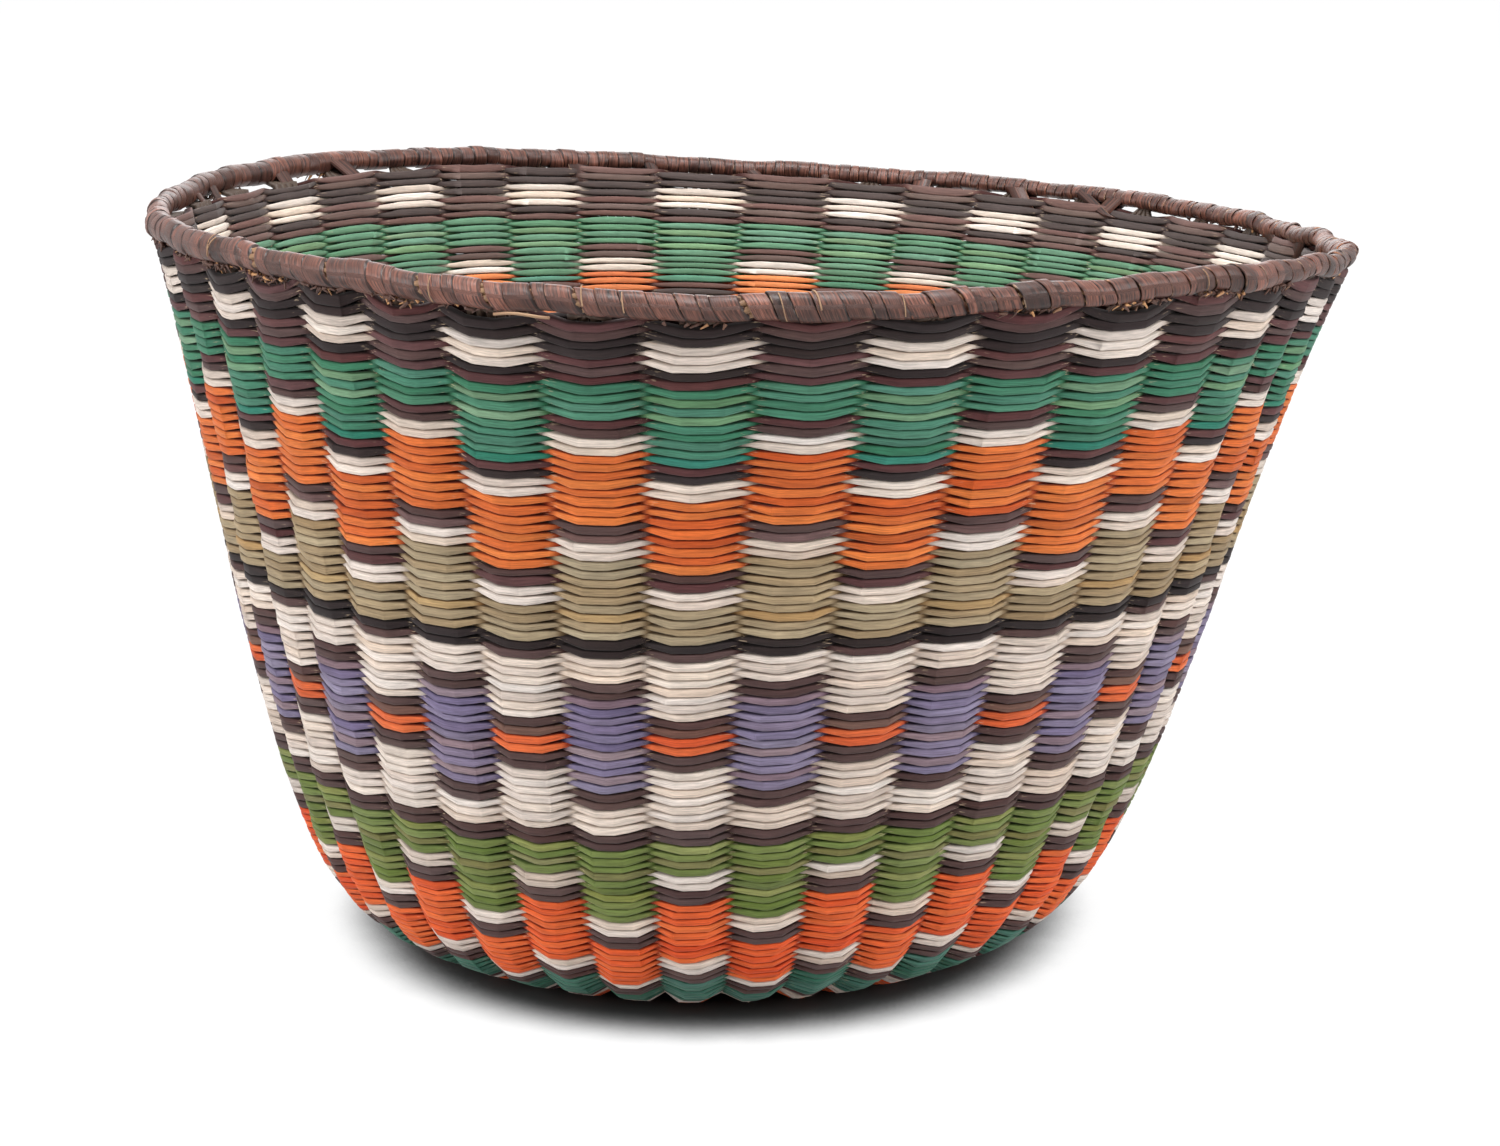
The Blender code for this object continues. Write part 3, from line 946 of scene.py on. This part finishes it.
def tubes(lines, radii, sides=7):
    """Points and faces of closed tubes round some lines. Lines are arrays (tube, place, xyz)."""
    count, places = lines.shape[:2]
    along = np.gradient(lines, axis=1)
    along /= np.linalg.norm(along, axis=-1)[..., None]
    steady = np.where(np.abs(along[..., 2:]) > 0.9, [1.0, 0.0, 0.0], [0.0, 0.0, 1.0])
    one = np.cross(along, steady)
    one /= np.linalg.norm(one, axis=-1)[..., None]
    two = np.cross(along, one)
    turns = np.arange(sides) * math.tau / sides
    ring = one[:, :, None] * np.cos(turns)[:, None] + two[:, :, None] * np.sin(turns)[:, None]
    points = lines[:, :, None] + ring * radii[..., None, None]
    faces = []
    for tube in range(count):
        base = tube * places * sides
        for spot in range(places - 1):
            for side in range(sides):
                after = (side + 1) % sides
                low, high = base + spot * sides, base + (spot + 1) * sides
                faces.append((low + side, high + side, high + after, low + after))
        faces.append(tuple(base + side for side in range(sides)))
        faces.append(tuple(base + (places - 1) * sides + side for side in reversed(range(sides))))
    return points, faces


# The painted shade of stems that the weft hides, and how thick the grain takes a stem to be
PAINTED_HIDDEN_SHADE = 0.06
GRAIN_RADIUS = 0.0015


def tube_piece(name, lines, radii, material, nodes, sides=7, painted_shade_places=0):
    """Closed tubes as one piece. The first places of each get painted shade, where that is asked for."""
    points, faces = tubes(lines, radii, sides)
    mesh = new_mesh(name, points.reshape(-1, 3), faces)
    shape = points.shape[:-1]
    count = len(lines)
    steps = np.cumsum(np.linalg.norm(np.diff(lines, axis=1), axis=-1), axis=1)
    along = np.concatenate([np.zeros((count, 1)), steps], 1)[..., None]
    turns = np.arange(sides) * math.tau / sides
    through = np.sin(turns) * GRAIN_RADIUS + rng.uniform(0, 9, (count, 1, 1))
    paint(mesh, "lie", lie_of(shape, along, np.cos(turns) * GRAIN_RADIUS, through))
    painted_shade_and_tone = np.ones(shape)
    painted_shade_and_tone[:, :painted_shade_places] = PAINTED_HIDDEN_SHADE
    paint(mesh, "painted_shade_and_tone", painted_shade_and_tone)
    add_piece(name, mesh, material, nodes)


STEMS_PER_STAKE = 4
# The shares of a column that a bundle takes up on the wall and at its tip
BUNDLE_SHARE = 0.42
BUNDLE_TIP_SHARE = 0.15
STAKE_STEM_RADIUS = 0.0018
STAKE_TIP_RADIUS = 0.0011
STAKE_PLACES = 34
# How many places from a stake's tip get painted shade, where the weft and the rim hide it
STAKE_PAINTED_SHADE_PLACES = 26


def add_stakes(material):
    """The bundles of stems that the courses are woven over, with their tips bent over into the rim."""
    arcs = np.linspace(0.0005, wall.length[-1] - 0.001, STAKE_PLACES)
    offsets = (np.arange(STEMS_PER_STAKE) - (STEMS_PER_STAKE - 1) / 2) / STEMS_PER_STAKE
    radius, height = wall.point(arcs, WALL_THICKNESS / 2)
    room = radius * math.tau / COLUMNS * BUNDLE_SHARE / STEMS_PER_STAKE / 2
    thick = np.concatenate([[STAKE_TIP_RADIUS] * 2, np.minimum(STAKE_STEM_RADIUS, room * 0.97)])
    lines = []
    for column in range(COLUMNS):
        for offset in offsets:
            line = place(turn(column + BUNDLE_SHARE * offset, arcs), radius, height)
            tips = turn(column + BUNDLE_TIP_SHARE * offset + np.array([0.05, 0.02]), 0.0)
            tip = rim_place(tips, np.array([0.0, -0.0012]), np.array([-0.0008, -0.004]))
            lines.append(np.concatenate([tip, line]))
    nodes = [f"stake_{column + 1:02d}" for column in range(COLUMNS)]
    radii = np.array([thick] * len(lines))
    tube_piece("stakes", np.array(lines), radii, material, nodes, 7, STAKE_PAINTED_SHADE_PLACES)


# Frayed columns of the neck under the rim: column and number of broken fibres
FRAYED = (
    (-9, 20), (-8, 30), (-7, 60), (-6, 80), (-5, 80), (-4, 30), (-3, 60), (-2, 20), (0, 12),
    (3, 30), (4, 50), (5, 70), (6, 50), (8, 20), (10, 30), (13, 30), (14, 30), (16, 20), (24, 30),
    (26, 40), (28, 50),
)


def add_fibres(material):
    """Broken fibres and frayed stem ends in the neck between the wall's top course and the rim."""
    lines, radii = [], []
    t = np.linspace(0, 1, 6)
    for column, count in FRAYED:
        middle = turn(column, 0.0)
        facing = 1 if math.cos(middle) > 0 else -1
        for _ in range(count):
            angle = middle + np.clip(rng.normal(), -2, 2) * 0.17 * math.tau / COLUMNS
            along = rng.uniform(0.0008, 0.0036) * rng.choice([-1, 1])
            angles = angle + (along * t + rng.normal() * 0.0005 * t * t) / TOP_RADIUS
            across = facing * (rng.uniform(-0.004, 0.0026) + rng.normal() * 0.0006 * t * t)
            fall = rng.uniform(-0.0024, 0.0014) * t + rng.normal() * 0.0004 * t * t
            lines.append(rim_place(angles, across, -0.0044 + fall))
            radii.append(rng.uniform(0.00035, 0.00085) * (1 - 0.5 * t))
    tube_piece("rim_fibres", np.array(lines), np.array(radii), material, [], sides=4)


# Narrow pale ends of the strip that stand off the rim: angle, and lead from the rim's top to its underside
RIM_LOOPS = (
    (-1.00, 0.0045), (-0.975, -0.004), (-0.49, 0.0036), (-0.253, 0.0042), (-0.193, 0.004),
    (0.029, 0.0058), (0.084, 0.0054), (0.21, 0.0034), (0.72, 0.0044),
)
# A stalk caught under the rim: its angles, its place in the rim's section, and its radius
STALK_ANGLES = (-0.375, -0.29)
STALK_PLACE = (0.0042, -0.0047)
STALK_RADIUS = 0.00055
LOOP_PLACES = 16


def add_loops(material):
    """Narrow pale strips round the rim, and the stalk caught under it."""
    lines, radii = [], []
    for angle, lead in RIM_LOOPS:
        thick = rng.uniform(0.00016, 0.0003)
        turned = np.linspace(rng.uniform(0.9, 1.8), rng.uniform(-0.9, 0.1), LOOP_PLACES)
        bulge = np.sin(np.linspace(0, math.pi, LOOP_PLACES))
        distance = 0.0046 + thick + rng.uniform(0, 0.0004) * bulge
        along = angle + lead * (2.0 - turned) / 3.3 / TOP_RADIUS
        lines.append(rim_place(along, distance * np.cos(turned), distance * np.sin(turned)))
        radii.append(np.full(LOOP_PLACES, thick))
    across, up = STALK_PLACE
    bend = 0.0006 * np.sin(np.linspace(0, 5, LOOP_PLACES))
    lines.append(rim_place(np.linspace(*STALK_ANGLES, LOOP_PLACES), across + bend, up + bend))
    radii.append(np.full(LOOP_PLACES, STALK_RADIUS))
    tube_piece("rim_loose_ends", np.array(lines), np.array(radii), material, [], sides=5)


PLAIT_REACH = 0.0382
PLAIT_SPACING = 0.004
PLAIT_STEMS = 19
PLAIT_STEM_RADIUS = 0.00165
PLAIT_WAVE = 0.00155


def add_start(material):
    """The plaited stems in the middle of the base."""
    t = np.linspace(-1, 1, 41)
    lines = []
    for way in (0, 1):
        for index in range(PLAIT_STEMS):
            offset = (index - (PLAIT_STEMS - 1) / 2) * PLAIT_SPACING
            run = t * math.sqrt(max(PLAIT_REACH**2 - offset**2, 1e-8))
            wave = np.cos(run / PLAIT_SPACING * math.pi + math.pi * (index + way)) * PLAIT_WAVE
            flat = (run, np.full_like(run, offset))
            lines.append(np.stack([flat[way], flat[1 - way], WALL_THICKNESS / 2 + wave], -1))
    lines = np.array(lines) - np.array([LEAN, 0, 0])
    radii = np.full(lines.shape[:2], PLAIT_STEM_RADIUS)
    tube_piece("base_start_plait", lines, radii, material, ["base_start"], sides=8)


# Scene

CAMERA_LENS = 95.85
CAMERA_PLACE = (-0.0007, -1.4975, 0.5249)
CAMERA_DOWN = 14.647
# Square lamps: name, place, side and power
LAMPS = (
    ("left", (-2.17, -1.06, 0.95), 1.2, 41),
    ("right", (2.17, -1.06, 0.95), 1.2, 39),
    ("above", (0, -0.5, 2.1), 1.0, 52),
    ("behind", (0, 2.4, 1.0), 1.4, 18),
)
LAMP_AIM = (0, 0, 0.15)
WORLD_LIGHT = 0.32
WHITE = (1, 1, 1, 1)
FLOOR_HALF = 12.0
FLOOR_LEVEL = -0.0003
# The floor's grey for light that bounces, and for the eye, which sees its glow besides
FLOOR_GREY = (0.6, 0.6, 0.6, 1)
FLOOR_SEEN_GREY = (0.05, 0.05, 0.05, 1)
# The floor's painted shadow, in its glow: how far a wall darkens the glow, and how open the floor is where
# the glow begins and ends
SHADE_REACH = 0.035
GLOW_BEGINS = 0.205
GLOW_ENDS = 0.67
FULL_GLOW = 0.98


def add_camera():
    data = bpy.data.cameras.new("camera")
    data.lens = CAMERA_LENS
    data.sensor_width = 36
    data.sensor_fit = "HORIZONTAL"
    data.clip_end = 100
    made = add_object("camera", data)
    made.location = CAMERA_PLACE
    made.rotation_euler = (math.radians(90 - CAMERA_DOWN), 0, 0)
    bpy.context.scene.camera = made


def add_lamp(name, location, side, power):
    data = bpy.data.lights.new(name, "AREA")
    data.shape = "RECTANGLE"
    data.size = data.size_y = side
    data.energy = power
    made = add_object(name, data)
    made.location = location
    direction = np.array(LAMP_AIM) - np.array(location)
    made.rotation_euler = Vector(direction).to_track_quat("-Z", "Y").to_euler()


def by_sight(tree, lighting, seen):
    """One shader for light that bounces, and one for what the eye sees, also mirrored or through glass."""
    path = add_node(tree, "ShaderNodeLightPath").outputs
    either = math_node(tree, "MAXIMUM", path["Is Camera Ray"], path["Is Glossy Ray"])
    sight = math_node(tree, "MAXIMUM", either, path["Is Transmission Ray"])
    inputs = {0: sight, 1: lighting.outputs[0], 2: seen.outputs[0]}
    return add_node(tree, "ShaderNodeMixShader", inputs).outputs[0]


def add_world():
    """Soft light all round, and a white background."""
    world = bpy.data.worlds.new("studio")
    bpy.context.scene.world = world
    world.use_nodes = True
    tree = world.node_tree
    tree.nodes.clear()
    soft = add_node(tree, "ShaderNodeBackground", {0: WHITE, 1: WORLD_LIGHT})
    white = add_node(tree, "ShaderNodeBackground", {0: WHITE, 1: 1.0})
    add_node(tree, "ShaderNodeOutputWorld", {0: by_sight(tree, soft, white)})


def painted_floor_shadow(tree):
    """The floor's own light, a painted shadow: white where it is open, and none where the basket is close
    above it.
    """
    near = add_node(tree, "ShaderNodeAmbientOcclusion", {"Distance": SHADE_REACH}, samples=24)
    position = add_node(tree, "ShaderNodeNewGeometry").outputs["Position"]
    north = add_node(tree, "ShaderNodeSeparateXYZ", {0: position})
    # The painted shadow reaches farther in front than at the sides and behind
    widen = fit_range(tree, north.outputs["Y"], -0.15, -0.05, -0.04, 0.12)
    open_share = math_node(tree, "ADD", near.outputs["AO"], widen)
    inputs = {0: open_share, 1: GLOW_BEGINS, 2: GLOW_ENDS, 3: 0.0, 4: FULL_GLOW}
    lift = add_node(tree, "ShaderNodeMapRange", inputs, interpolation_type="SMOOTHSTEP").outputs[0]
    return add_node(tree, "ShaderNodeEmission", {0: WHITE, 1: lift})


def add_floor():
    """A white floor that keeps the basket's shadow: a little of it cast, the rest painted into its glow."""
    made, tree, shader = new_material("floor")
    tree.nodes.remove(shader)
    plain = add_node(tree, "ShaderNodeBsdfDiffuse", {0: FLOOR_GREY})
    dim = add_node(tree, "ShaderNodeBsdfDiffuse", {0: FLOOR_SEEN_GREY})
    lifted = add_node(tree, "ShaderNodeAddShader", {0: dim.outputs[0], 1: painted_floor_shadow(tree).outputs[0]})
    tree.links.new(by_sight(tree, plain, lifted), tree.nodes["Material Output"].inputs["Surface"])
    mesh = bpy.data.meshes.new("floor")
    half = FLOOR_HALF
    flat = [(-half, -half), (half, -half), (half, half), (-half, half)]
    mesh.from_pydata([(*corner, FLOOR_LEVEL) for corner in flat], [], [(0, 1, 2, 3)])
    mesh.materials.append(made)
    floor = add_object("floor", mesh)


def main():
    bpy.context.scene.view_settings.view_transform = "Standard"
    stems = stem_material("dyed_stems")
    peeled = wood_material("peeled_stems", (196, 168, 124), (140, 106, 72))
    bent = wood_material("bent_stems", (150, 116, 82), (104, 74, 54))
    start = wood_material("plaited_stems", (186, 158, 118), (138, 108, 76))
    leaf = leaf_material("leaf_strip")
    for kind in (0, 1):
        weft = Weft(kind)
        for zone in range(len(ZONES)):
            add_weft(weft, zone, stems)
    add_binding(leaf)
    add_stitches(leaf)
    add_stakes(peeled)
    add_fibres(fibre_material("broken_fibres"))
    add_start(start)
    add_loops(wood_material("loose_ends", (178, 146, 112), (110, 74, 54)))
    add_core(bent)
    add_camera()
    add_world()
    for lamp in LAMPS:
        add_lamp(*lamp)
    add_floor()


main()
